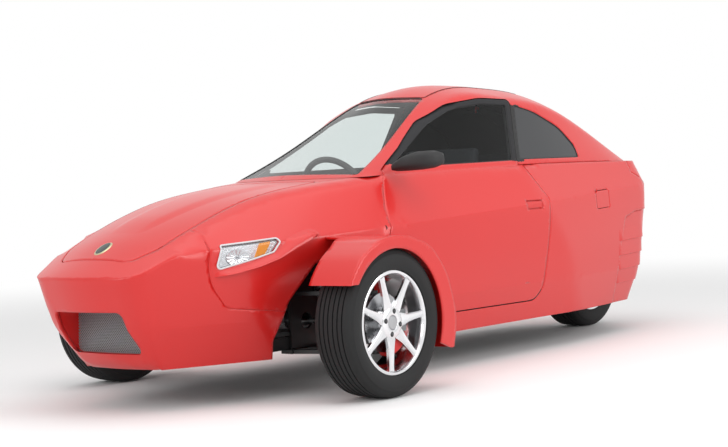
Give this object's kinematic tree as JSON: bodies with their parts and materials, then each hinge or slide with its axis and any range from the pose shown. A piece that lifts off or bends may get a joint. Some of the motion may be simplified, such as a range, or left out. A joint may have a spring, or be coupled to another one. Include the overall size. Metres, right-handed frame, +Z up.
{
  "type": "three wheeled car",
  "caption": "Enclosed two-seat three-wheeled car with outboard front wheels under wings, one rear wheel, opening doors, hood and rear hatch.",
  "frame": {"origin": "on the floor under the middle of the overall length", "axes": "+Z up, +Y towards the tail, +X towards the car's left side"},
  "size_m": [1.723, 4.0627, 1.3223],
  "materials": {
    "body_paint": "semi-gloss",
    "tyre_rubber": "matt",
    "bright_alloy": "polished",
    "clear_glass": "clear",
    "dark_glass": "tinted",
    "lamp_silver": "bright",
    "red_lens": "gloss",
    "bare_steel": "machined",
    "cast_metal": "as cast",
    "black_steel": "satin",
    "seat_fabric": "woven",
    "grille_steel": "satin",
    "black_plastic": "grained"
  },
  "bodies": {
    "body": {"body_side_left": "body_paint", "body_side_right": "body_paint", "body_tub": "black_steel", "coil_overs": "black_steel", "cowl": "body_paint", "dashboard": "black_plastic", "door_hinges": "black_steel", "drive_shafts": "bare_steel", "engine": "cast_metal", "front_bumper": "body_paint", "front_side_panels": "body_paint", "front_subframe": "black_steel", "fuel_filler": "black_plastic", "grille": "grille_steel", "grille_duct": "black_plastic", "hatch_hinges": "black_steel", "headlamp_lenses": "clear_glass", "headlamps": "lamp_silver", "quarter_glasses": "dark_glass", "rear_bumper": "body_paint", "rear_shocks": "black_steel", "roof_panel": "body_paint", "seat_front": "seat_fabric", "seat_rear": "seat_fabric", "side_frames": "body_paint", "steering_rack": "cast_metal", "swing_arm": "black_steel", "tail_lamps": "red_lens", "tail_panel": "body_paint", "windshield": "clear_glass", "wings": "body_paint", "wishbones": "black_steel"},
    "hood": {"hood": "body_paint"},
    "door_left": {"door_glass_left": "dark_glass", "door_handle_left": "black_plastic", "door_left": "body_paint", "mirror_left": "black_plastic"},
    "door_right": {"door_glass_right": "dark_glass", "door_handle_right": "black_plastic", "door_right": "body_paint"},
    "hatch": {"rear_hatch": "body_paint", "hatch_glass": "clear_glass"},
    "fuel_flap": {"fuel_flap": "body_paint"},
    "knuckle_left": {"knuckle_left": "cast_metal"},
    "knuckle_right": {"knuckle_right": "cast_metal"},
    "wheel_front_left": {"tyre_front_left": "tyre_rubber", "rim_front_left": "bright_alloy", "brake_disc_left": "bare_steel"},
    "wheel_front_right": {"tyre_front_right": "tyre_rubber", "rim_front_right": "bright_alloy", "brake_disc_right": "bare_steel"},
    "wheel_rear": {"tyre_rear": "tyre_rubber", "rim_rear": "bright_alloy"},
    "steering_wheel": {"steering_wheel": "black_plastic"}
  },
  "joints": [
    {"name": "hood_hinge", "type": "hinge", "parent": "body", "child": "hood", "pos_m": [0, -1.0885, 0.808], "axis": [-1, 0, 0], "range_deg": [0, 45]},
    {"name": "door_left_hinge", "type": "hinge", "parent": "body", "child": "door_left", "pos_m": [0.532, -0.6925, 0.555], "axis": [0, 0, -1], "range_deg": [0, 58]},
    {"name": "door_right_hinge", "type": "hinge", "parent": "body", "child": "door_right", "pos_m": [-0.532, -0.6925, 0.555], "axis": [0, 0, 1], "range_deg": [0, 58]},
    {"name": "hatch_hinge", "type": "hinge", "parent": "body", "child": "hatch", "pos_m": [0, 0.9815, 1.212], "axis": [1, 0, 0], "range_deg": [0, 60]},
    {"name": "fuel_flap_hinge", "type": "hinge", "parent": "body", "child": "fuel_flap", "pos_m": [0.50744, 1.0615, 0.717], "axis": [0, 0, -1], "range_deg": [0, 80]},
    {"name": "steering_left", "type": "hinge", "parent": "body", "child": "knuckle_left", "pos_m": [0.735, -1.1055, 0.298], "axis": [0, 0, 1], "range_deg": [-28, 28]},
    {"name": "steering_right", "type": "hinge", "parent": "body", "child": "knuckle_right", "pos_m": [-0.735, -1.1055, 0.298], "axis": [0, 0, 1], "range_deg": [-28, 28]},
    {"name": "wheel_spin_front_left", "type": "hinge", "parent": "knuckle_left", "child": "wheel_front_left", "pos_m": [0.755, -1.1055, 0.298], "axis": [1, 0, 0], "continuous": true},
    {"name": "wheel_spin_front_right", "type": "hinge", "parent": "knuckle_right", "child": "wheel_front_right", "pos_m": [-0.755, -1.1055, 0.298], "axis": [1, 0, 0], "continuous": true},
    {"name": "wheel_spin_rear", "type": "hinge", "parent": "body", "child": "wheel_rear", "pos_m": [0, 1.6885, 0.298], "axis": [1, 0, 0], "continuous": true},
    {"name": "steering_wheel_turn", "type": "hinge", "parent": "body", "child": "steering_wheel", "pos_m": [0, -0.6085, 0.72], "axis": [0, 0.9135, 0.4067], "range_deg": [-420, 420]}
  ],
  "couplings": [
    {"joint": "steering_right", "follows": "steering_left", "ratio": 1},
    {"joint": "steering_wheel_turn", "follows": "steering_left", "ratio": 15}
  ]
}
